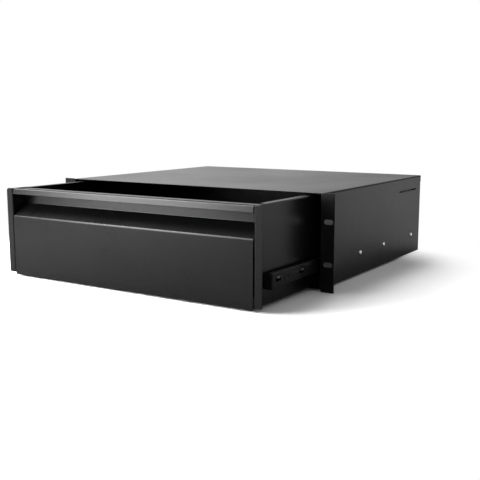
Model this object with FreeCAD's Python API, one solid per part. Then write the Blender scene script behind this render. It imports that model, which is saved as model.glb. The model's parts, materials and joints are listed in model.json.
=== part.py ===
import FreeCAD, Part
import math
import os

# A 3U sliding drawer for a 19 inch rack, drawn partly open as at rest.
# Millimetres. X runs to the right, Y from the front to the back, Z up.
# The origin is the centre of the four rack slots, on the front face of the ears.

V = FreeCAD.Vector
os.makedirs("parts", exist_ok=True)

# ---- rack front, EIA-310 ----
PANEL_WIDTH = 482.6
PANEL_HEIGHT = 132.5
SLOT_SPACING_X = 465.1
SLOT_SPACING_Z = 57.15
SLOT_LENGTH = 13.0
SLOT_WIDTH = 6.8
EAR_CORNER_R = 1.2

# ---- case ----
CASE_HALF_WIDTH = 221.3
CASE_DEPTH = 373.8
CASE_BOTTOM = -63.25
COVER_TOP = 65.75
SIDE_SHEET = 1.5
SHEET = 1.2
BEND_R = 0.8
EAR_BEND_R = 1.0
JOINT_GAP = 0.15
CASE_INSIDE = CASE_HALF_WIDTH - SIDE_SHEET
COVER_FRONT = 0.4
COVER_LIP = 11.0
COVER_BEND_R = 1.6
SIDE_TOP_FLANGE = 8.0
SIDE_FLANGE_FRONT = 8.0
SIDE_FLANGE_BACK_GAP = 2.0
BASE_FRONT = 2.6
BASE_FLANGE = 12.0
REAR_FLANGE = 15.0
REAR_FLANGE_LOW = -10.0
REAR_FLANGE_HIGH = 58.0

# ---- the cover's hooks and their slots ----
HOOK_FRONT = 282.5
HOOK_LENGTH = 48.5
HOOK_Z = 44.2
HOOK_SLOT_LENGTH = 72.0
HOOK_SLOT_HEIGHT = 2.4
HOOK_REACH = 3.6
HOOK_FLANGE_MARGIN = 6.0
HOOK_END_GAP = 0.5

# ---- drawer ----
DRAWER_OPEN = 142.5
DRAWER_FRONT = -DRAWER_OPEN
DRAWER_DEPTH = 352.0
DRAWER_BACK = DRAWER_FRONT + DRAWER_DEPTH
DRAWER_TOP = 62.4
DRAWER_BOTTOM = -60.9
DRAWER_HALF_WIDTH = 207.1
FRONT_FLANGE_EDGE = 216.8
FLANGE_CORNER = 4.5
RIM_WIDTH = 9.5
RIM_FOLD = 5.0
FLOOR_FLANGE = 12.0
FLOOR_RELIEF = 24.0
CORNER_GAP = 1.0

# ---- drawer front with its finger pull ----
FRONT_HALF_WIDTH = 204.4
FRONT_BOTTOM = -63.9
FRONT_TOP = DRAWER_TOP - 0.3
FRONT_RIM = DRAWER_TOP - 0.9
PULL_SILL = 22.2
PULL_DEPTH = 25.0
PULL_BEND = 38.8
PULL_BEND_R = 1.6
WEB_LEAN = 1.5
STRIP_BOTTOM = 54.3
STRIP_LEAN = 1.7
STRIP_BEND_R = 1.2
GROOVE_START = 4.8
GROOVE_FOOT = 6.6
GROOVE_END = 14.5
STRIP_SEAT = 15.0
RETURN_DEPTH = 20.0
RETURN_JOGGLE = 6.0
RETURN_SLOPE = 3.0
RETURN_LOW = -48.0
RETURN_HIGH = 14.0

# ---- slides: three members, 12.7 mm thick, nested in each other ----
SLIDE_Z = -31.25
SLIDE_SETBACK = 20.5
SLIDE_LENGTH = 350.0
BUMPER_THICKNESS = 3.5
BUMPER_HEIGHT = 19.2
BUMPER_WIDTH = 11.6
BUMPER_CORNER = 1.5
BUMPER_TONGUE = 9.0
BUMPER_CLEARANCE = 0.3
MEMBER_SHEET = 1.0
CABINET_LENGTH = SLIDE_LENGTH - BUMPER_THICKNESS - BUMPER_CLEARANCE
STOP_THICKNESS = 3.0
MEMBER_LENGTH = CABINET_LENGTH - STOP_THICKNESS - BUMPER_CLEARANCE
SLIDE_THICKNESS = CASE_INSIDE - DRAWER_HALF_WIDTH
CABINET_HEIGHT = 27.8
CABINET_LIP_U = 3.0
CABINET_LIP = 1.3
MIDDLE_HEIGHT = 20.0
MIDDLE_WEB_U = 8.4
MIDDLE_LIP_U = 2.6
MIDDLE_LIP = 1.0
INNER_HEIGHT = 12.4
INNER_REACH_U = 6.4
MEMBER_BEND_R = 0.6
BALL_CLEARANCE = 0.08
OUTER_BALL_U = 5.9
INNER_BALL_U = 5.4
CAGE_SHEET = 0.5
CAGE_LENGTH = 160.0
BALLS_PER_ROW = 12
BALL_HOLE_GAP = 0.15
CAGE_GAP = 0.3
CAGE_FLANGE_MARGIN = 0.5

# ---- places along the slides, from their front end ----
CABINET_SCREWS = [108.0, 196.0, 314.0]
INNER_SCREWS = [34.0, 95.0, 222.0, 302.0]
ACCESS_HOLE_LEAD = 12.5
ACCESS_HOLE_LENGTH = 13.5
ACCESS_HOLE_HEIGHT = 6.0
LANCE_FROM_FRONT = 35.5
LANCE_WIDTH = 1.8
LANCE_HEIGHT = 10.0
PEEP_HOLE_FROM_FRONT = 47.0
PEEP_HOLE_R = 1.5

# ---- screws and nuts ----
SCREW_R = 1.5
SCREW_HOLE_R = 1.6
TAPPED_HOLE_R = 1.55
HEAD_R = 2.8
HEAD_HEIGHT = 1.9
HEAD_CROWN = 0.8
CROSS_LENGTH = 2.9
CROSS_WIDTH = 0.6
CROSS_DEPTH = 0.9
CASE_SCREW_REACH = 1.0
NUT_R = 3.2
NUT_HEIGHT = 3.0
CUT_MARGIN = 1.0
NEAR = 0.01


def box(x0, x1, y0, y1, z0, z1):
    """A block between two corners."""
    return Part.makeBox(x1 - x0, y1 - y0, z1 - z0, V(x0, y0, z0))


def save(shape, name):
    """Writes one node and prints its size."""
    shape = shape.removeSplitter()
    if not shape.isValid():
        raise ValueError("not valid: " + name)
    print(name, len(shape.Solids), round(shape.Volume, 1))
    shape.exportStep("parts/" + name + ".step")


def mirrored(shape):
    """The left-hand twin of a right-hand piece."""
    return shape.mirror(V(0, 0, 0), V(1, 0, 0))


def save_pair(shape, name):
    """Writes the right-hand piece and its left-hand twin."""
    save(shape, "right_" + name)
    save(mirrored(shape), "left_" + name)


def add(a, b):
    return (a[0] + b[0], a[1] + b[1])


def scaled(a, k):
    return (a[0] * k, a[1] * k)


def unit(a, b):
    """The direction from a to b."""
    length = math.hypot(b[0] - a[0], b[1] - a[1])
    return ((b[0] - a[0]) / length, (b[1] - a[1]) / length)


def bent_sheet(points, thickness, inside_r, side, place):
    """The section of a bent sheet, as a face.

    points is the line of one skin. The sheet lies on its left for side +1 and on its
    right for side -1. Each corner is a bend of inside radius inside_r. place turns a
    point of the section into a point in space.
    """
    skin = []
    back = []
    last = len(points) - 1
    for i, corner in enumerate(points):
        if i in (0, last):
            ahead = unit(points[0], points[1]) if i == 0 else unit(points[last - 1], corner)
            across = (-ahead[1] * side, ahead[0] * side)
            skin.append([corner])
            back.append([add(corner, scaled(across, thickness))])
            continue
        before = unit(points[i - 1], corner)
        after = unit(corner, points[i + 1])
        turn = math.atan2(
            before[0] * after[1] - before[1] * after[0],
            before[0] * after[0] + before[1] * after[1],
        )
        towards_sheet = turn * side > 0
        skin_r = inside_r + thickness if towards_sheet else inside_r
        back_r = inside_r if towards_sheet else inside_r + thickness
        setback = skin_r * math.tan(abs(turn) / 2)
        way = 1 if turn > 0 else -1
        start = add(corner, scaled(before, -setback))
        centre = add(start, scaled((-before[1] * way, before[0] * way), skin_r))
        outward_in = (before[1] * way, -before[0] * way)
        outward_out = (after[1] * way, -after[0] * way)
        outward_mid = unit(centre, corner)
        arcs = []
        for radius in (skin_r, back_r):
            arcs.append([
                add(centre, scaled(outward_in, radius)),
                add(centre, scaled(outward_mid, radius)),
                add(centre, scaled(outward_out, radius)),
            ])
        skin.append(arcs[0])
        back.append(arcs[1])
    edges = chain(skin, place) + chain([list(reversed(p)) for p in reversed(back)], place)
    edges.append(Part.LineSegment(place(*skin[-1][0]), place(*back[-1][0])).toShape())
    edges.append(Part.LineSegment(place(*back[0][0]), place(*skin[0][0])).toShape())
    return Part.Face(Part.Wire(Part.__sortEdges__(edges)))


def chain(pieces, place):
    """Straight runs and bend arcs through a list of points and arcs."""
    edges = []
    for i, piece in enumerate(pieces):
        if len(piece) == 3:
            edges.append(Part.Arc(place(*piece[0]), place(*piece[1]), place(*piece[2])).toShape())
        if i + 1 < len(pieces):
            start = place(*piece[-1])
            end = place(*pieces[i + 1][0])
            if start.distanceToPoint(end) > NEAR:
                edges.append(Part.LineSegment(start, end).toShape())
    return edges


def plan(z):
    """Places a section drawn in X and Y at height z."""
    return lambda a, b: V(a, b, z)


def side_view(x):
    """Places a section drawn in Y and Z at x."""
    return lambda a, b: V(x, a, b)


def front_view(y):
    """Places a section drawn in X and Z at y."""
    return lambda a, b: V(a, y, b)


def sheet_up(points, z0, z1, thickness, side, inside_r=BEND_R):
    """A bent sheet drawn in plan and drawn out from z0 to z1."""
    return bent_sheet(points, thickness, inside_r, side, plan(z0)).extrude(V(0, 0, z1 - z0))


def sheet_across(points, x0, x1, thickness, side, inside_r=BEND_R):
    """A bent sheet drawn from the side and drawn out from x0 to x1."""
    return bent_sheet(points, thickness, inside_r, side, side_view(x0)).extrude(V(x1 - x0, 0, 0))


def sheet_back(points, y0, y1, thickness, side, inside_r=BEND_R):
    """A bent sheet drawn from the front and drawn out from y0 to y1."""
    return bent_sheet(points, thickness, inside_r, side, front_view(y0)).extrude(V(0, y1 - y0, 0))


def rod(x0, x1, y, z, radius):
    """A cylinder along X."""
    return Part.makeCylinder(radius, x1 - x0, V(x0, y, z), V(1, 0, 0))


def slot_along_y(x0, x1, y, z, length, height):
    """A cutter for a round-ended slot in an upright plate, longer along Y."""
    r = height / 2
    half = length / 2 - r
    cutter = box(x0, x1, y - half, y + half, z - r, z + r)
    for end in (-half, half):
        cutter = cutter.fuse(rod(x0, x1, y + end, z, r))
    return cutter


def with_round_corners(shape, edges_at, radius):
    """Rounds the straight edges whose middle passes the test."""
    edges = [e for e in shape.Edges if edges_at(e.CenterOfMass)]
    return shape.makeFillet(radius, edges)


# ---- case pieces ----

def rack_slot(x, z):
    """A cutter for one slot of the ears, longer along X."""
    r = SLOT_WIDTH / 2
    half = SLOT_LENGTH / 2 - r
    y0 = -CUT_MARGIN
    depth = SIDE_SHEET + 2 * CUT_MARGIN
    cutter = box(x - half, x + half, y0, y0 + depth, z - r, z + r)
    for end in (-half, half):
        cutter = cutter.fuse(Part.makeCylinder(r, depth, V(x + end, y0, z), V(0, 1, 0)))
    return cutter


def ear_plate(x0):
    """The flat of the right ear, from x0 outwards."""
    plate = box(x0, PANEL_WIDTH / 2, 0, SIDE_SHEET, -PANEL_HEIGHT / 2, PANEL_HEIGHT / 2)
    plate = with_round_corners(plate, lambda c: abs(c.x - PANEL_WIDTH / 2) < NEAR
                               and abs(abs(c.z) - PANEL_HEIGHT / 2) < NEAR, EAR_CORNER_R)
    for z in (-SLOT_SPACING_Z / 2, SLOT_SPACING_Z / 2):
        plate = plate.cut(rack_slot(SLOT_SPACING_X / 2, z))
    return plate


def side_panel():
    """Right side of the case, with the rack ear bent out of the same sheet."""
    top = COVER_TOP - SHEET - JOINT_GAP
    ear_start = CASE_INSIDE + EAR_BEND_R + SIDE_SHEET
    ear_overlap = ear_start + CUT_MARGIN
    wall_top = top - SIDE_SHEET - BEND_R
    wall = sheet_up([(ear_overlap, 0), (CASE_INSIDE, 0), (CASE_INSIDE, CASE_DEPTH)],
                    CASE_BOTTOM, wall_top, SIDE_SHEET, -1, EAR_BEND_R)
    front = sheet_up([(ear_overlap, 0), (CASE_INSIDE, 0), (CASE_INSIDE, SIDE_FLANGE_FRONT)],
                     CASE_BOTTOM, top, SIDE_SHEET, -1, EAR_BEND_R)
    flange = sheet_back([(CASE_HALF_WIDTH, 0), (CASE_HALF_WIDTH, top),
                         (CASE_INSIDE - SIDE_TOP_FLANGE, top)],
                        SIDE_FLANGE_FRONT, CASE_DEPTH - SIDE_FLANGE_BACK_GAP, SIDE_SHEET, 1)
    hook_notch = box(0, CASE_INSIDE, HOOK_FRONT - 2 * HOOK_FLANGE_MARGIN,
                     HOOK_FRONT + HOOK_SLOT_LENGTH, wall_top, top + CUT_MARGIN)
    panel = wall.fuse([front, flange.cut(hook_notch), ear_plate(ear_start)])
    through = (CASE_INSIDE - CUT_MARGIN, CASE_HALF_WIDTH + CUT_MARGIN)
    slot_centre = HOOK_FRONT - HOOK_END_GAP + HOOK_SLOT_LENGTH / 2
    cutters = [slot_along_y(*through, slot_centre, HOOK_Z, HOOK_SLOT_LENGTH, HOOK_SLOT_HEIGHT)]
    for place in CABINET_SCREWS:
        cutters.append(rod(*through, SLIDE_SETBACK + place, SLIDE_Z, SCREW_HOLE_R))
    return panel.cut(cutters)


def cover_hook():
    """Right hook flange under the cover, with its lug sloping out through the side."""
    inner = CASE_INSIDE - JOINT_GAP - SHEET
    outer = CASE_INSIDE - JOINT_GAP
    lug_top = HOOK_Z + HOOK_SLOT_HEIGHT / 2 - 2 * JOINT_GAP
    lug_low = HOOK_Z - HOOK_SLOT_HEIGHT / 2 + 2 * JOINT_GAP
    tip = CASE_HALF_WIDTH + HOOK_REACH
    flange = box(inner, outer, HOOK_FRONT - HOOK_FLANGE_MARGIN, HOOK_FRONT + HOOK_LENGTH,
                 lug_low, COVER_TOP - SHEET / 2)
    outline = [V(outer - SHEET / 2, HOOK_FRONT, lug_low), V(outer - SHEET / 2, HOOK_FRONT, lug_top),
               V(CASE_HALF_WIDTH, HOOK_FRONT, lug_top), V(tip, HOOK_FRONT, lug_low)]
    lug = Part.Face(Part.makePolygon(outline + outline[:1])).extrude(V(0, HOOK_LENGTH, 0))
    return flange.fuse(lug)


def top_cover():
    """Flat cover, folded down over the back, with a hook on each side."""
    edge = CASE_HALF_WIDTH
    lip_back = CASE_DEPTH + JOINT_GAP + SHEET
    plate = sheet_across([(COVER_FRONT, COVER_TOP), (lip_back, COVER_TOP),
                          (lip_back, COVER_TOP - COVER_LIP)],
                         -edge, edge, SHEET, -1, COVER_BEND_R)
    hook = cover_hook()
    return plate.fuse([hook, mirrored(hook)])


def base_plate():
    """Bottom of the case, with an upturned flange against each side panel."""
    half = CASE_INSIDE - JOINT_GAP
    high = CASE_BOTTOM + BASE_FLANGE
    return sheet_back([(-half, high), (-half, CASE_BOTTOM), (half, CASE_BOTTOM), (half, high)],
                      BASE_FRONT, CASE_DEPTH - SHEET - 2 * JOINT_GAP, SHEET, 1)


def rear_panel():
    """Back of the case, with a short flange bent forward along each side panel."""
    half = CASE_INSIDE - JOINT_GAP
    top = COVER_TOP - SHEET - COVER_BEND_R
    plate = box(-half, half, CASE_DEPTH - SHEET, CASE_DEPTH, CASE_BOTTOM, top)
    front = CASE_DEPTH - SHEET - REAR_FLANGE
    flange = sheet_up([(half, front), (half, CASE_DEPTH), (half - REAR_FLANGE, CASE_DEPTH)],
                      REAR_FLANGE_LOW, REAR_FLANGE_HIGH, SHEET, 1)
    return plate.fuse([flange, mirrored(flange)])


# ---- slide pieces, drawn for the right side ----

def slide_x(u):
    """X of a point u outwards from the drawer's side."""
    return DRAWER_HALF_WIDTH + u


def channel(height, web_u, lip_u, lip, y0, length):
    """A slide member open towards the drawer, its lips turned in to hold the balls."""
    half = height / 2
    points = [(slide_x(lip_u), SLIDE_Z + half - MEMBER_SHEET - lip),
              (slide_x(lip_u), SLIDE_Z + half),
              (slide_x(web_u), SLIDE_Z + half),
              (slide_x(web_u), SLIDE_Z - half),
              (slide_x(lip_u), SLIDE_Z - half),
              (slide_x(lip_u), SLIDE_Z - half + MEMBER_SHEET + lip)]
    return sheet_back(points, y0, y0 + length, MEMBER_SHEET, -1, MEMBER_BEND_R)


def members_front(opened):
    """Y of the front end of the members when they are drawn out by opened."""
    return SLIDE_SETBACK + BUMPER_THICKNESS + BUMPER_CLEARANCE - opened


def cabinet_member():
    """Outer channel, screwed to the case."""
    member = channel(CABINET_HEIGHT, SLIDE_THICKNESS, CABINET_LIP_U, CABINET_LIP,
                     members_front(0), CABINET_LENGTH)
    return member.cut([
        rod(slide_x(MIDDLE_WEB_U), CASE_INSIDE + CUT_MARGIN, SLIDE_SETBACK + place, SLIDE_Z,
            TAPPED_HOLE_R)
        for place in CABINET_SCREWS
    ])


def middle_member():
    """Intermediate channel, with the holes that give access to the inner screws."""
    front = members_front(DRAWER_OPEN)
    member = channel(MIDDLE_HEIGHT, MIDDLE_WEB_U, MIDDLE_LIP_U, MIDDLE_LIP, front, MEMBER_LENGTH)
    web_in = slide_x(MIDDLE_WEB_U - 2 * MEMBER_SHEET)
    web_out = slide_x(MIDDLE_WEB_U) + CUT_MARGIN
    start = SLIDE_SETBACK - DRAWER_OPEN
    lance = start + LANCE_FROM_FRONT
    cutters = [
        box(web_in, web_out, lance, lance + LANCE_WIDTH,
            SLIDE_Z - LANCE_HEIGHT / 2, SLIDE_Z + LANCE_HEIGHT / 2),
        rod(web_in, web_out, start + PEEP_HOLE_FROM_FRONT, SLIDE_Z, PEEP_HOLE_R),
    ]
    for place in INNER_SCREWS:
        cutters.append(slot_along_y(web_in, web_out, start + place - ACCESS_HOLE_LEAD, SLIDE_Z,
                                    ACCESS_HOLE_LENGTH, ACCESS_HOLE_HEIGHT))
    return member.cut(cutters)


def inner_member():
    """Drawer member, open outwards, its web flat against the drawer's side."""
    half = INNER_HEIGHT / 2
    front = members_front(DRAWER_OPEN) - BUMPER_CLEARANCE
    points = [(slide_x(INNER_REACH_U), SLIDE_Z + half), (slide_x(0), SLIDE_Z + half),
              (slide_x(0), SLIDE_Z - half), (slide_x(INNER_REACH_U), SLIDE_Z - half)]
    member = sheet_back(points, front, front + MEMBER_LENGTH, MEMBER_SHEET, 1, MEMBER_BEND_R)
    start = SLIDE_SETBACK - DRAWER_OPEN
    return member.cut([
        rod(slide_x(0) - CUT_MARGIN, slide_x(MEMBER_SHEET) + CUT_MARGIN, start + place, SLIDE_Z,
            SCREW_HOLE_R)
        for place in INNER_SCREWS
    ])


def front_bumper():
    """Plastic end cap of the drawer member, which meets the other members on closing."""
    front = SLIDE_SETBACK - DRAWER_OPEN
    cap = box(slide_x(BUMPER_CLEARANCE), slide_x(BUMPER_WIDTH), front, front + BUMPER_THICKNESS,
              SLIDE_Z - BUMPER_HEIGHT / 2, SLIDE_Z + BUMPER_HEIGHT / 2)
    middle = front + BUMPER_THICKNESS / 2
    cap = with_round_corners(cap, lambda c: abs(c.y - middle) < NEAR, BUMPER_CORNER)
    half = INNER_HEIGHT / 2 - MEMBER_SHEET - MEMBER_BEND_R
    tongue = box(slide_x(MEMBER_SHEET), slide_x(INNER_REACH_U), front + BUMPER_THICKNESS,
                 front + BUMPER_THICKNESS + BUMPER_TONGUE, SLIDE_Z - half, SLIDE_Z + half)
    return cap.fuse(tongue)


def rear_stop():
    """Rubber stop in the back end of the cabinet member, for the other two members."""
    back = members_front(0) + CABINET_LENGTH
    half = CABINET_HEIGHT / 2 - MEMBER_SHEET - MEMBER_BEND_R
    stop = box(slide_x(MIDDLE_LIP_U), slide_x(SLIDE_THICKNESS - MEMBER_SHEET),
               back - STOP_THICKNESS, back, SLIDE_Z - half, SLIDE_Z + half)
    lip_depth = CABINET_LIP_U + MEMBER_SHEET + MEMBER_BEND_R
    middle = slide_x(CABINET_LIP_U / 2 + MIDDLE_LIP_U / 2)
    lip_height = half - CABINET_LIP - CAGE_GAP
    for side in (-1, 1):
        low = min(side * lip_height, side * half)
        clearance = box(middle - lip_depth, slide_x(lip_depth), back - STOP_THICKNESS, back,
                        SLIDE_Z + low, SLIDE_Z + low + half - lip_height)
        stop = stop.cut(clearance)
    return stop


def ball_row(gap_low, gap_high):
    """Height of the row and radius of the balls that fill the gap between two races."""
    return (gap_low + gap_high) / 2, (gap_high - gap_low) / 2 - BALL_CLEARANCE


OUTER_ROW = ball_row(MIDDLE_HEIGHT / 2, CABINET_HEIGHT / 2 - MEMBER_SHEET)
INNER_ROW = ball_row(INNER_HEIGHT / 2, MIDDLE_HEIGHT / 2 - MEMBER_SHEET)
OUTER_CAGE_WEB_U = (MIDDLE_WEB_U + SLIDE_THICKNESS - MEMBER_SHEET - CAGE_SHEET) / 2
INNER_CAGE_WEB_U = MIDDLE_WEB_U - MEMBER_SHEET - CAGE_GAP - CAGE_SHEET


def cage_centre(cage_opened):
    """Y of the middle of a cage that has come out by cage_opened from where it is when closed."""
    return members_front(0) + MEMBER_LENGTH / 2 - cage_opened


def ball_places(centre):
    """Y of each ball of a row."""
    pitch = CAGE_LENGTH / BALLS_PER_ROW
    return [centre + (i - (BALLS_PER_ROW - 1) / 2) * pitch for i in range(BALLS_PER_ROW)]


def balls(row, u, centre):
    """The upper and the lower row of balls, as separate solids."""
    height, radius = row
    spheres = []
    for y in ball_places(centre):
        for side in (-1, 1):
            spheres.append(Part.makeSphere(radius, V(slide_x(u), y, SLIDE_Z + side * height)))
    return Part.Compound(spheres)


def ball_cage(row, u, web_u, centre):
    """Thin channel whose flanges hold the balls at their middles."""
    height, radius = row
    half = height + CAGE_SHEET / 2
    end_u = u - radius - CAGE_FLANGE_MARGIN
    points = [(slide_x(end_u), SLIDE_Z + half), (slide_x(web_u + CAGE_SHEET), SLIDE_Z + half),
              (slide_x(web_u + CAGE_SHEET), SLIDE_Z - half), (slide_x(end_u), SLIDE_Z - half)]
    cage = sheet_back(points, centre - CAGE_LENGTH / 2, centre + CAGE_LENGTH / 2,
                      CAGE_SHEET, -1, CAGE_GAP)
    hole_bottom = SLIDE_Z - half - CUT_MARGIN
    hole_height = 2 * (half + CUT_MARGIN)
    return cage.cut([
        Part.makeCylinder(radius + BALL_HOLE_GAP, hole_height, V(slide_x(u), y, hole_bottom))
        for y in ball_places(centre)
    ])


def screw(head_face, reach, y):
    """A cross-recess pan-head screw along X, its head outwards from head_face."""
    top = head_face + HEAD_HEIGHT
    head = rod(head_face, top, y, SLIDE_Z, HEAD_R)
    rim = [e for e in head.Edges if abs(e.CenterOfMass.x - top) < NEAR]
    head = head.makeFillet(HEAD_CROWN, rim)
    body = head.fuse(rod(head_face - reach, head_face + HEAD_CROWN, y, SLIDE_Z, SCREW_R))
    floor = top - CROSS_DEPTH
    half = CROSS_LENGTH / 2
    arm = CROSS_WIDTH / 2
    upright = box(floor, top + CUT_MARGIN, y - arm, y + arm, SLIDE_Z - half, SLIDE_Z + half)
    level = box(floor, top + CUT_MARGIN, y - half, y + half, SLIDE_Z - arm, SLIDE_Z + arm)
    return body.cut(upright.fuse(level))


def cabinet_screws():
    """Screws through the case into the cabinet member."""
    reach = SIDE_SHEET + MEMBER_SHEET + CASE_SCREW_REACH
    return Part.Compound([
        screw(CASE_HALF_WIDTH, reach, SLIDE_SETBACK + place) for place in CABINET_SCREWS
    ])


def inner_screws():
    """Screws through the drawer member and the drawer's side into the clinch nuts."""
    reach = MEMBER_SHEET + SHEET + NUT_HEIGHT
    start = SLIDE_SETBACK - DRAWER_OPEN
    return Part.Compound([
        screw(slide_x(MEMBER_SHEET), reach, start + place) for place in INNER_SCREWS
    ])


def clinch_nuts():
    """Round clinch nuts on the inside of the drawer's side."""
    face = DRAWER_HALF_WIDTH - SHEET
    nuts = []
    for place in INNER_SCREWS:
        y = SLIDE_SETBACK - DRAWER_OPEN + place
        nut = rod(face - NUT_HEIGHT, face, y, SLIDE_Z, NUT_R)
        nuts.append(nut.cut(rod(face - NUT_HEIGHT - CUT_MARGIN, face + CUT_MARGIN, y, SLIDE_Z,
                                TAPPED_HOLE_R)))
    return Part.Compound(nuts)


# ---- drawer pieces ----

def drawer_side():
    """Right side of the drawer: front flange bent out, rim bent in."""
    inside = DRAWER_HALF_WIDTH - SHEET
    web_back = DRAWER_FRONT + PULL_DEPTH + WEB_LEAN + SHEET
    fold_low = DRAWER_TOP - RIM_FOLD
    rim_back = DRAWER_BACK - SHEET - RIM_WIDTH - JOINT_GAP
    front = sheet_up([(FRONT_FLANGE_EDGE, DRAWER_FRONT), (inside, DRAWER_FRONT),
                      (inside, web_back + JOINT_GAP)],
                     DRAWER_BOTTOM, DRAWER_TOP, SHEET, -1)
    front = with_round_corners(front, lambda c: abs(c.x - FRONT_FLANGE_EDGE) < NEAR
                               and abs(c.z - DRAWER_TOP) < NEAR, FLANGE_CORNER)
    wall = box(inside, DRAWER_HALF_WIDTH, web_back, DRAWER_BACK, DRAWER_BOTTOM, fold_low)
    rim = sheet_back([(DRAWER_HALF_WIDTH, fold_low), (DRAWER_HALF_WIDTH, DRAWER_TOP),
                      (DRAWER_HALF_WIDTH - RIM_WIDTH, DRAWER_TOP)],
                     web_back + JOINT_GAP, rim_back, SHEET, 1)
    rear_corner = box(inside, DRAWER_HALF_WIDTH, rim_back, DRAWER_BACK, fold_low, DRAWER_TOP)
    side = front.fuse([wall, rim, rear_corner])
    start = SLIDE_SETBACK - DRAWER_OPEN
    return side.cut([
        rod(inside - CUT_MARGIN, DRAWER_HALF_WIDTH + CUT_MARGIN, start + place, SLIDE_Z,
            SCREW_HOLE_R)
        for place in INNER_SCREWS
    ])


def front_panel():
    """Drawer front: flat face, sloping sill, deep web and forward rim from one sheet."""
    web = DRAWER_FRONT + PULL_DEPTH
    skin = [(DRAWER_FRONT, FRONT_BOTTOM), (DRAWER_FRONT, PULL_SILL), (web, PULL_BEND),
            (web + WEB_LEAN, FRONT_RIM - SHEET), (DRAWER_FRONT + GROOVE_END, FRONT_RIM - SHEET)]
    panel = sheet_across(skin, -FRONT_HALF_WIDTH, FRONT_HALF_WIDTH, SHEET, -1, PULL_BEND_R)
    wall_inside = DRAWER_HALF_WIDTH - SHEET - JOINT_GAP
    start = DRAWER_FRONT
    joggle = start + RETURN_JOGGLE
    return_sheet = sheet_up([(FRONT_HALF_WIDTH - RETURN_DEPTH, start), (FRONT_HALF_WIDTH, start),
                             (FRONT_HALF_WIDTH, joggle), (wall_inside, joggle + RETURN_SLOPE),
                             (wall_inside, start + RETURN_DEPTH)],
                            RETURN_LOW, RETURN_HIGH, SHEET, 1)
    return panel.fuse([return_sheet, mirrored(return_sheet)])


def pull_strip():
    """Leaning strip above the finger pull, stepped down behind to sit under the rim."""
    seat = FRONT_RIM - SHEET - JOINT_GAP
    skin = [(DRAWER_FRONT + GROOVE_FOOT + STRIP_SEAT, seat), (DRAWER_FRONT + GROOVE_FOOT, seat),
            (DRAWER_FRONT + GROOVE_START, FRONT_TOP), (DRAWER_FRONT + STRIP_LEAN, FRONT_TOP),
            (DRAWER_FRONT, STRIP_BOTTOM)]
    return sheet_across(skin, -FRONT_HALF_WIDTH, FRONT_HALF_WIDTH, SHEET, 1, STRIP_BEND_R)


def drawer_floor():
    """Bottom of the drawer, turned up along both sides and behind the front."""
    half = DRAWER_HALF_WIDTH - SHEET - JOINT_GAP
    front = DRAWER_FRONT + SHEET + JOINT_GAP
    high = DRAWER_BOTTOM + FLOOR_FLANGE
    tray = sheet_back([(-half, high), (-half, DRAWER_BOTTOM), (half, DRAWER_BOTTOM), (half, high)],
                      front + SHEET + BEND_R, DRAWER_BACK - SHEET - 2 * JOINT_GAP, SHEET, 1)
    upstand = sheet_across([(front, high), (front, DRAWER_BOTTOM),
                            (front + FLOOR_RELIEF, DRAWER_BOTTOM)],
                           FLOOR_RELIEF - half, half - FLOOR_RELIEF, SHEET, 1)
    return tray.fuse(upstand)


def drawer_back():
    """Back of the drawer, with a rim bent forward along its top and sides."""
    half = DRAWER_HALF_WIDTH - SHEET - JOINT_GAP
    plate = sheet_across([(DRAWER_BACK, DRAWER_BOTTOM), (DRAWER_BACK, DRAWER_TOP),
                          (DRAWER_BACK - SHEET - RIM_WIDTH, DRAWER_TOP)],
                         -half, half, SHEET, 1)
    flange = sheet_up([(half, DRAWER_BACK - RETURN_DEPTH), (half, DRAWER_BACK),
                       (half - RETURN_DEPTH, DRAWER_BACK)],
                      DRAWER_BOTTOM + FLOOR_FLANGE + CORNER_GAP, DRAWER_TOP - RIM_FOLD, SHEET, 1)
    return plate.fuse([flange, mirrored(flange)])


# ---- build ----

save(top_cover(), "top_cover")
save(base_plate(), "base_plate")
save(rear_panel(), "rear_panel")
save_pair(side_panel(), "side_panel")
save_pair(cabinet_member(), "cabinet_member")
save_pair(cabinet_screws(), "cabinet_screws")
save_pair(rear_stop(), "rear_stop")

save_pair(middle_member(), "middle_member")
outer_centre = cage_centre(DRAWER_OPEN / 2)
inner_centre = cage_centre(DRAWER_OPEN)
save_pair(ball_cage(OUTER_ROW, OUTER_BALL_U, OUTER_CAGE_WEB_U, outer_centre), "outer_ball_cage")
save_pair(balls(OUTER_ROW, OUTER_BALL_U, outer_centre), "outer_balls")
save_pair(ball_cage(INNER_ROW, INNER_BALL_U, INNER_CAGE_WEB_U, inner_centre), "inner_ball_cage")
save_pair(balls(INNER_ROW, INNER_BALL_U, inner_centre), "inner_balls")

save(front_panel(), "front_panel")
save(pull_strip(), "pull_strip")
save(drawer_floor(), "drawer_floor")
save(drawer_back(), "drawer_back")
save_pair(drawer_side(), "drawer_side")
save_pair(inner_member(), "inner_member")
save_pair(front_bumper(), "front_bumper")
save_pair(inner_screws(), "inner_screws")
save_pair(clinch_nuts(), "clinch_nuts")
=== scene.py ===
import json
import math

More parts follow.
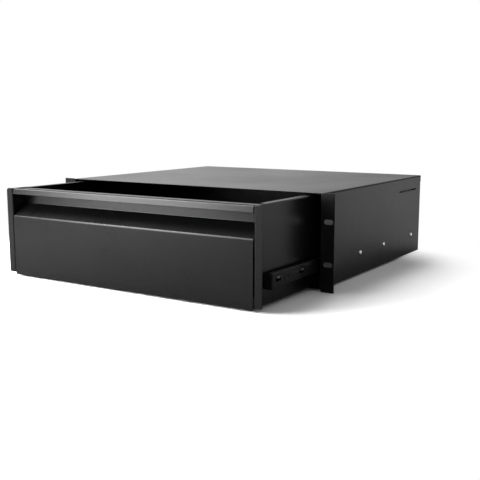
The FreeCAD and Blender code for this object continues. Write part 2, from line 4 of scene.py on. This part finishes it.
import bpy
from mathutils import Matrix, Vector


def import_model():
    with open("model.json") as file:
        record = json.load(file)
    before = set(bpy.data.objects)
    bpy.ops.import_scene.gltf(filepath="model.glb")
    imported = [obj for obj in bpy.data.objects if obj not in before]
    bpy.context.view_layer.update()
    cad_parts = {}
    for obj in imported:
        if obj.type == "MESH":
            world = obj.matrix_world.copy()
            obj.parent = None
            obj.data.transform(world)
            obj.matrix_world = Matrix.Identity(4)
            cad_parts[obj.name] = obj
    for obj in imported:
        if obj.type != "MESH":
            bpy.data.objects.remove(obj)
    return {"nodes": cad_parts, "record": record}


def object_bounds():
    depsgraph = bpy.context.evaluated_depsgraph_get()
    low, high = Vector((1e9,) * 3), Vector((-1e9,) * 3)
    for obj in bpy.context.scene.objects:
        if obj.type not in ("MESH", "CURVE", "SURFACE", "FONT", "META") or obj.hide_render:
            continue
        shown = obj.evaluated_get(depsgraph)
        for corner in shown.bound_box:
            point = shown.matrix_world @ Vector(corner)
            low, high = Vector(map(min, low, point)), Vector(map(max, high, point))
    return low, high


# A black sliding rack drawer, three rack units tall, in a pale studio. Metres, in the part's
# own frame: X to the right, Y from the front to the back, Z up, origin between the rack slots.

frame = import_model()
cad_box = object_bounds()
floor_height = cad_box[0][2]
MM = 0.001

# ---- camera: turn to the left of +Y and tilt down in degrees, lens and sensor in millimetres ----
CAMERA_PLACE = (0.680, -0.9129, 0.16685)
CAMERA_YAW = 32.65
CAMERA_PITCH = 9.10
CAMERA_LENS = 58.49
SENSOR = 36.0

# ---- surroundings, where 1.0 is white ----
WORLD_LEVEL = 0.34              # what lights the object
FRONT_LEVEL = 0.3               # what reflections see in front of the object, against 1.0 behind it
FRONT_END, BACK_START = -0.3, 0.1      # Y of the directions where those two levels are reached
MIDDLE_LEVEL = 0.55             # what they see in the middle, against 1.0 to the left and right
MIDDLE_SHIFT = 0.06             # how far left of straight ahead that middle lies
MIDDLE_END, SIDE_START = 0.3, 0.5      # distance from it where those two levels are reached

# ---- floor ----
FLOOR_SIZE = 60.0
FLOOR_CENTRE = (0.0, -0.12)
FLOOR_ROUGHNESS = 0.9
FLOOR_COLOUR = 0.8              # what throws light on the object
FLOOR_WHITE = 1.12              # what the camera sees
FLOOR_MIRRORED_SHADE = 0.55           # what reflections see: darker than the lit floor, a painted shade
FADE = (0.44, 0.58)             # distances from the centre where the camera's view turns white
MIRROR_FADE = (0.5, 1.5)        # and where reflections turn to the surroundings' level, painted lighter to the left and right

# ---- lamps: size across and up ----
KEY_PLACE = (-0.86, -0.14, 1.24)
KEY_TARGET = (0.0, 0.1, 0.0)
KEY_SIZE = (1.4, 1.5)
KEY_WATTS = 46.0
FRONT_TARGET = (0.0, -0.14, 0.0)
GLINT_PLACE = (-0.49, -0.75, 0.28)
GLINT_SIZE = (0.40, 0.48)
GLINT_WATTS = 12.0
EDGE_PLACE = (-0.57, -0.49, 0.74)
EDGE_SIZE = (0.4, 0.4)
EDGE_WATTS = 13.0
RIM_PLACE = (0.95, -1.1, 0.5)
RIM_SIZE = (0.6, 0.6)
RIM_WATTS = 14.0

# ---- finishes: linear colours, and how far along a sheet's edge its rounding reaches ----
COAT_COLOUR = (0.003, 0.003, 0.0032)
COAT_ROUGHNESS = 0.29
COAT_SPECULAR = 0.2
COAT_EDGE = 0.35 * MM
WORN_COAT = (0.018, 0.018, 0.019)
CHIP_WEAR = 0.8                 # how far a chipped edge turns to the worn colour
CHIPS = (0.5, 0.68)             # values of the noise between which a chip begins
GRAIN_SHARE, CLOUD_SHARE = 0.4, 0.6    # parts in the mottle of the coat's gloss
BLACK_STEEL = (0.0055, 0.0055, 0.006)
STEEL_ROUGHNESS = 0.30
STEEL_SPECULAR = 0.1
STEEL_EDGE = 0.25 * MM
# bare steel on worn edges, made light so that it also serves as a painted highlight along them; the
# next line is how far edges turn to it
BARE_STEEL_AND_HIGHLIGHT = (0.10, 0.10, 0.10)
STEEL_WEAR_AND_HIGHLIGHT = 0.7
RUBBED = (0.45, 0.62)           # values of the scuffs between which bare steel, and its painted highlight, begins
BLACK_PLASTIC = (0.004, 0.004, 0.004)
PLASTIC_ROUGHNESS = 0.5
PLASTIC_SPECULAR = 0.05
PLASTIC_EDGE = 0.5 * MM
PLASTIC_WEAR = 0.3
RUBBER = (0.013, 0.013, 0.013)
RUBBER_ROUGHNESS = 0.82
RUBBER_WEAR = 0.5
ZINC = (0.80, 0.80, 0.82)
ZINC_ROUGHNESS = 0.42
STRIP_STEEL = (0.52, 0.52, 0.53)
STRIP_ROUGHNESS = 0.32
BALL_STEEL = (0.70, 0.70, 0.72)
BALL_ROUGHNESS = 0.12
METAL_EDGE = 0.15 * MM
BRIGHTER = 1.15                 # colour of a bright metal's edges, against its own
SCUFFED = 0.35                  # change of a bright metal's roughness, against its own
PATCH_SIZE = 8                  # size of a bright metal's patches, against its scuffs
EVEN = (1, 1, 1)                # scale of noise along X, Y and Z
ROLLED = (1, 0.02, 1)           # drawn out along Y, as the slides' black steel is rolled
DRAWN = (1, 0.05, 1)            # and as the cages' strip is
NOISE_LOW, NOISE_HIGH = 0.35, 0.65     # the values that noise mostly stays between
EDGE_TURN, FLAT_TURN = 0.93, 0.995     # cosine of rounded to true normal, on an edge and off it
BEVEL_SAMPLES = 4


# ---- nodes ----

def material(name):
    """An empty node material with its shader and output."""
    made = bpy.data.materials.new(name)
    made.use_nodes = True
    tree = made.node_tree
    tree.nodes.clear()
    output = tree.nodes.new("ShaderNodeOutputMaterial")
    shader = tree.nodes.new("ShaderNodeBsdfPrincipled")
    tree.links.new(shader.outputs["BSDF"], output.inputs["Surface"])
    return made, tree, shader


def add_node(tree, kind, inputs=None, **settings):
    """A node with its settings and unlinked input values."""
    node = tree.nodes.new(kind)
    for key, value in settings.items():
        setattr(node, key, value)
    for key, value in (inputs or {}).items():
        node.inputs[key].default_value = value
    return node


def fill(tree, socket, value):
    """Links a socket to another one, or sets it to a number or a colour."""
    if isinstance(value, bpy.types.NodeSocket):
        tree.links.new(value, socket)
    elif isinstance(value, float):
        socket.default_value = value
    else:
        socket.default_value = (*value, 1)


def ranged(tree, value, lowest, highest, start=NOISE_LOW, end=NOISE_HIGH):
    """A value spread from start..end to lowest..highest."""
    spread = add_node(tree, "ShaderNodeMapRange", {
        "From Min": start, "From Max": end, "To Min": lowest, "To Max": highest})
    tree.links.new(value, spread.inputs["Value"])
    return spread.outputs["Result"]


def joined(tree, operation, first, second):
    """Two values brought together by a mathematical operation, each a socket or a number."""
    node = add_node(tree, "ShaderNodeMath", operation=operation)
    fill(tree, node.inputs[0], first)
    fill(tree, node.inputs[1], second)
    return node.outputs[0]


def scaled(tree, value, factor):
    """A value times a number."""
    return joined(tree, "MULTIPLY", value, factor)


def mixed(tree, factor, start, end, kind="FLOAT"):
    """A value between start and end, which are sockets or numbers, or colours with kind RGBA."""
    node = add_node(tree, "ShaderNodeMix", data_type=kind)
    tree.links.new(factor, node.inputs["Factor"])
    fill(tree, node.inputs["A"], start)
    fill(tree, node.inputs["B"], end)
    return node.outputs["Result"]


def noise(tree, scale, detail, stretch=EVEN):
    """Noise in the object's own coordinates, scale in grains to the metre."""
    place = add_node(tree, "ShaderNodeTexCoord")
    mapping = add_node(tree, "ShaderNodeMapping", {"Scale": stretch})
    grains = add_node(tree, "ShaderNodeTexNoise", {"Scale": scale, "Detail": detail})
    tree.links.new(place.outputs["Object"], mapping.inputs["Vector"])
    tree.links.new(mapping.outputs["Vector"], grains.inputs["Vector"])
    return grains.outputs["Fac"]


def soft_edges(tree, radius):
    """Normal with slightly rounded edges, and a mask that is 1 along those edges."""
    rounded = add_node(tree, "ShaderNodeBevel", {"Radius": radius})
    rounded.samples = BEVEL_SAMPLES
    flat = add_node(tree, "ShaderNodeNewGeometry")
    along = add_node(tree, "ShaderNodeVectorMath", operation="DOT_PRODUCT")
    tree.links.new(rounded.outputs["Normal"], along.inputs[0])
    tree.links.new(flat.outputs["True Normal"], along.inputs[1])
    edge = ranged(tree, along.outputs["Value"], 1.0, 0.0, start=EDGE_TURN, end=FLAT_TURN)
    return rounded.outputs["Normal"], edge


def raised(tree, height, normal, strength, depth):
    """The normal with relief added to it, from a height."""
    bump = add_node(tree, "ShaderNodeBump", {"Strength": strength, "Distance": depth})
    tree.links.new(height, bump.inputs["Height"])
    tree.links.new(normal, bump.inputs["Normal"])
    return bump.outputs["Normal"]


def coloured(tree, shader, colour, patches, variation, worn, wear):
    """Base colour that varies a little in patches and turns to another where worn."""
    darker = [part * (1 - variation) for part in colour]
    lighter = [part * (1 + variation) for part in colour]
    body = mixed(tree, patches, darker, lighter, "RGBA")
    tree.links.new(mixed(tree, wear, body, worn, "RGBA"), shader.inputs["Base Color"])


def rough(tree, shader, mottle, base, change):
    """Roughness that follows a mottle by a change to both sides of the base."""
    varied = ranged(tree, mottle, base - change, base + change)
    tree.links.new(varied, shader.inputs["Roughness"])


# ---- finishes ----

def powder_coat(name):
    """Satin powder coat: fine grain, faint orange peel, thinner and paler along edges."""
    made, tree, shader = material(name)
    grain = noise(tree, scale=1700, detail=2)
    peel = noise(tree, scale=260, detail=1)
    cloud = noise(tree, scale=8, detail=4)
    normal, edge = soft_edges(tree, COAT_EDGE)
    chips = ranged(tree, noise(tree, scale=140, detail=5), 0.0, 1.0, *CHIPS)
    wear = joined(tree, "MULTIPLY", edge, scaled(tree, chips, CHIP_WEAR))
    coloured(tree, shader, COAT_COLOUR, cloud, variation=0.14, worn=WORN_COAT, wear=wear)
    mottle = joined(tree, "ADD", scaled(tree, grain, GRAIN_SHARE),
                    scaled(tree, cloud, CLOUD_SHARE))
    rough(tree, shader, mottle, base=COAT_ROUGHNESS, change=0.035)
    shader.inputs["Specular IOR Level"].default_value = COAT_SPECULAR
    normal = raised(tree, peel, normal, strength=0.10, depth=0.10 * MM)
    normal = raised(tree, grain, normal, strength=0.22, depth=0.05 * MM)
    tree.links.new(normal, shader.inputs["Normal"])
    return made


def black_steel(name):
    """Black finish on rolled steel: lines along the rolling, and worn bare steel along edges, made
    light as a painted highlight.
    """
    made, tree, shader = material(name)
    lines = noise(tree, scale=420, detail=3, stretch=ROLLED)
    scuffs = noise(tree, scale=90, detail=5)
    normal, edge = soft_edges(tree, STEEL_EDGE)
    # edges turn to the light bare steel in scuffed patches: partly wear, partly painted highlight
    wear = joined(tree, "MULTIPLY", edge, ranged(tree, scuffs, 0.0, STEEL_WEAR_AND_HIGHLIGHT, *RUBBED))
    coloured(tree, shader, BLACK_STEEL, lines, variation=0.25, worn=BARE_STEEL_AND_HIGHLIGHT, wear=wear)
    rough(tree, shader, lines, base=STEEL_ROUGHNESS, change=0.05)
    shader.inputs["Specular IOR Level"].default_value = STEEL_SPECULAR
    normal = raised(tree, lines, normal, strength=0.15, depth=0.04 * MM)
    tree.links.new(normal, shader.inputs["Normal"])
    return made


def black_plastic(name):
    """Moulded plastic with a fine spark-eroded grain and rounded edges."""
    made, tree, shader = material(name)
    grain = noise(tree, scale=2200, detail=2)
    cloud = noise(tree, scale=60, detail=3)
    normal, edge = soft_edges(tree, PLASTIC_EDGE)
    wear = scaled(tree, edge, PLASTIC_WEAR)
    coloured(tree, shader, BLACK_PLASTIC, cloud, variation=0.2, worn=WORN_COAT, wear=wear)
    rough(tree, shader, grain, base=PLASTIC_ROUGHNESS, change=0.06)
    shader.inputs["Specular IOR Level"].default_value = PLASTIC_SPECULAR
    normal = raised(tree, grain, normal, strength=0.3, depth=0.05 * MM)
    tree.links.new(normal, shader.inputs["Normal"])
    return made


def rubber(name):
    """Dull black rubber, dusty in patches and along its edges."""
    made, tree, shader = material(name)
    grain = noise(tree, scale=900, detail=3)
    dust = noise(tree, scale=45, detail=4)
    normal, edge = soft_edges(tree, PLASTIC_EDGE)
    wear = scaled(tree, edge, RUBBER_WEAR)
    coloured(tree, shader, RUBBER, dust, variation=0.3, worn=WORN_COAT, wear=wear)
    rough(tree, shader, grain, base=RUBBER_ROUGHNESS, change=0.07)
    normal = raised(tree, grain, normal, strength=0.3, depth=0.10 * MM)
    tree.links.new(normal, shader.inputs["Normal"])
    return made


def bright_metal(name, colour, roughness, scale, stretch=EVEN):
    """Plated or plain bright metal with fine scuffs and duller patches."""
    made, tree, shader = material(name)
    scuffs = noise(tree, scale, detail=4, stretch=stretch)
    patches = noise(tree, scale / PATCH_SIZE, detail=3)
    normal, edge = soft_edges(tree, METAL_EDGE)
    shader.inputs["Metallic"].default_value = 1.0
    polished = [min(1.0, part * BRIGHTER) for part in colour]
    coloured(tree, shader, colour, patches, variation=0.10, worn=polished, wear=edge)
    rough(tree, shader, scuffs, base=roughness, change=roughness * SCUFFED)
    normal = raised(tree, scuffs, normal, strength=0.12, depth=0.03 * MM)
    tree.links.new(normal, shader.inputs["Normal"])
    return made


def dress():
    """Gives every node the finish of its material slot."""
    finishes = {
        "case_coat": powder_coat("case_powder_coat"),
        "drawer_coat": powder_coat("drawer_powder_coat"),
        "slide_coat": black_steel("slide_black_finish"),
        "bumper_plastic": black_plastic("bumper_black_plastic"),
        "stop_rubber": rubber("stop_black_rubber"),
        "screw_zinc": bright_metal("screw_bright_zinc", ZINC, ZINC_ROUGHNESS, scale=1500),
        "cage_steel": bright_metal("cage_bright_strip", STRIP_STEEL, STRIP_ROUGHNESS, scale=500,
                                   stretch=DRAWN),
        "ball_steel": bright_metal("ball_polished_steel", BALL_STEEL, BALL_ROUGHNESS, scale=900),
    }
    slot_of = {part["node"]: part["material_slot"] for part in frame["record"]["subparts"]}
    for node, shape in frame["nodes"].items():
        for place in shape.material_slots:
            place.material = finishes[slot_of[node]]


# ---- studio ----

def ray_kinds(tree):
    """Masks for camera rays, and for rays of mirror-like and clear surfaces."""
    path = add_node(tree, "ShaderNodeLightPath")
    mirrored = joined(tree, "MAXIMUM", path.outputs["Is Glossy Ray"],
                      path.outputs["Is Transmission Ray"])
    return path.outputs["Is Camera Ray"], mirrored


def fading(tree, distance, reach, seen):
    """0 near the object to 1 far from it, for one kind of ray."""
    far = add_node(tree, "ShaderNodeMapRange", {"From Min": reach[0], "From Max": reach[1]},
                   interpolation_type="SMOOTHSTEP")
    tree.links.new(distance, far.inputs["Value"])
    return joined(tree, "MULTIPLY", far.outputs["Result"], seen)


def side_light(tree, direction):
    """Level of the surroundings in reflections: lightest to the left and right. On the floor this is
    painted light.
    """
    parts = add_node(tree, "ShaderNodeSeparateXYZ")
    tree.links.new(direction, parts.inputs["Vector"])
    sideways = add_node(tree, "ShaderNodeMath", operation="ABSOLUTE")
    tree.links.new(joined(tree, "ADD", parts.outputs["X"], MIDDLE_SHIFT), sideways.inputs[0])
    return ranged(tree, sideways.outputs[0], MIDDLE_LEVEL, 1.0, start=MIDDLE_END, end=SIDE_START)


def floor_surface():
    """Pale surface that takes the shadow near the object and turns to plain white further out. In
    reflections it is darker, a painted shade, and further out lighter to the left and right, a
    painted light.
    """
    made, tree, shader = material("studio_floor_white")
    shader.inputs["Roughness"].default_value = FLOOR_ROUGHNESS
    shader.inputs["Specular IOR Level"].default_value = 0.0
    seen, mirrored = ray_kinds(tree)
    # painted shade: reflections see the floor darker than the floor that lights the object
    tint = mixed(tree, mirrored, [FLOOR_COLOUR] * 3, [FLOOR_MIRRORED_SHADE] * 3, "RGBA")
    tint = mixed(tree, seen, tint, [FLOOR_WHITE] * 3, "RGBA")
    tree.links.new(tint, shader.inputs["Base Color"])
    place = add_node(tree, "ShaderNodeTexCoord")
    distance = add_node(tree, "ShaderNodeVectorMath", operation="LENGTH")
    tree.links.new(place.outputs["Object"], distance.inputs[0])
    direction = add_node(tree, "ShaderNodeVectorMath", operation="NORMALIZE")
    tree.links.new(place.outputs["Object"], direction.inputs[0])
    faded = joined(tree, "ADD", fading(tree, distance.outputs["Value"], FADE, seen),
                   fading(tree, distance.outputs["Value"], MIRROR_FADE, mirrored))
    # painted light: the floor as reflections see it glows lighter to the left and right
    painted_sides = side_light(tree, direction.outputs["Vector"])
    white = add_node(tree, "ShaderNodeEmission")
    tree.links.new(mixed(tree, mirrored, 1.0, painted_sides), white.inputs["Strength"])
    blend = add_node(tree, "ShaderNodeMixShader")
    tree.links.new(faded, blend.inputs["Fac"])
    tree.links.new(shader.outputs["BSDF"], blend.inputs[1])
    tree.links.new(white.outputs["Emission"], blend.inputs[2])
    output = next(node for node in tree.nodes if node.type == "OUTPUT_MATERIAL")
    tree.links.new(blend.outputs["Shader"], output.inputs["Surface"])
    return made


def floor():
    """The floor that the object stands on."""
    bpy.ops.mesh.primitive_plane_add(size=FLOOR_SIZE, location=(*FLOOR_CENTRE, floor_height))
    plane = bpy.context.object
    plane.name = "studio_floor"
    plane.data.materials.append(floor_surface())


def world():
    """White surroundings. Reflections see them dimmer in front and in the middle, as in a studio."""
    surroundings = bpy.data.worlds.new("studio_world")
    bpy.context.scene.world = surroundings
    surroundings.use_nodes = True
    tree = surroundings.node_tree
    back = tree.nodes["Background"]
    seen, mirrored = ray_kinds(tree)
    direction = add_node(tree, "ShaderNodeTexCoord").outputs["Generated"]
    parts = add_node(tree, "ShaderNodeSeparateXYZ")
    tree.links.new(direction, parts.inputs["Vector"])
    depth = ranged(tree, parts.outputs["Y"], FRONT_LEVEL, 1.0, start=FRONT_END, end=BACK_START)
    reflected = joined(tree, "MULTIPLY", depth, side_light(tree, direction))
    lighting = mixed(tree, mirrored, WORLD_LEVEL, reflected)
    tree.links.new(mixed(tree, seen, lighting, 1.0), back.inputs["Strength"])
    back.inputs["Color"].default_value = (1, 1, 1, 1)


def lamp(name, place, target, size, watts):
    """Rectangular soft lamp that faces its target."""
    light = bpy.data.lights.new(name, "AREA")
    light.shape = "RECTANGLE"
    light.size, light.size_y = size
    light.energy = watts
    item = bpy.data.objects.new(name, light)
    bpy.context.collection.objects.link(item)
    item.location = place
    item.rotation_euler = (Vector(target) - Vector(place)).to_track_quat("-Z", "Y").to_euler()
    return item


def flag_off(lamps, shape):
    """Keeps lamps off one shape, as a black flag in a studio does."""
    shaded = bpy.data.collections.new("shaded_from_accents")
    shaded.objects.link(shape)
    shaded.collection_objects[0].light_linking.link_state = "EXCLUDE"
    for item in lamps:
        item.light_linking.receiver_collection = shaded


def lights():
    """A key lamp, a low lamp for the glow above the finger pull, and two for highlights alone."""
    lamp("key_lamp", KEY_PLACE, KEY_TARGET, KEY_SIZE, KEY_WATTS)
    glint = lamp("glint_lamp", GLINT_PLACE, FRONT_TARGET, GLINT_SIZE, GLINT_WATTS)
    edge = lamp("edge_lamp", EDGE_PLACE, FRONT_TARGET, EDGE_SIZE, EDGE_WATTS)
    rim = lamp("rim_lamp", RIM_PLACE, FRONT_TARGET, RIM_SIZE, RIM_WATTS)
    for item in (glint, edge, rim):
        item.visible_camera = False
    for item in (edge, rim):
        item.visible_diffuse = False
    flag_off((glint, edge, rim), frame["nodes"]["top_cover"])


def camera():
    """Camera at the viewing angle of the product view."""
    lens = bpy.data.cameras.new("camera")
    lens.lens = CAMERA_LENS
    lens.sensor_width = SENSOR
    item = bpy.data.objects.new("camera", lens)
    bpy.context.collection.objects.link(item)
    item.location = CAMERA_PLACE
    item.rotation_euler = (math.radians(90 - CAMERA_PITCH), 0, math.radians(CAMERA_YAW))
    bpy.context.scene.camera = item


dress()
floor()
world()
lights()
camera()
bpy.context.scene.view_settings.view_transform = "Standard"
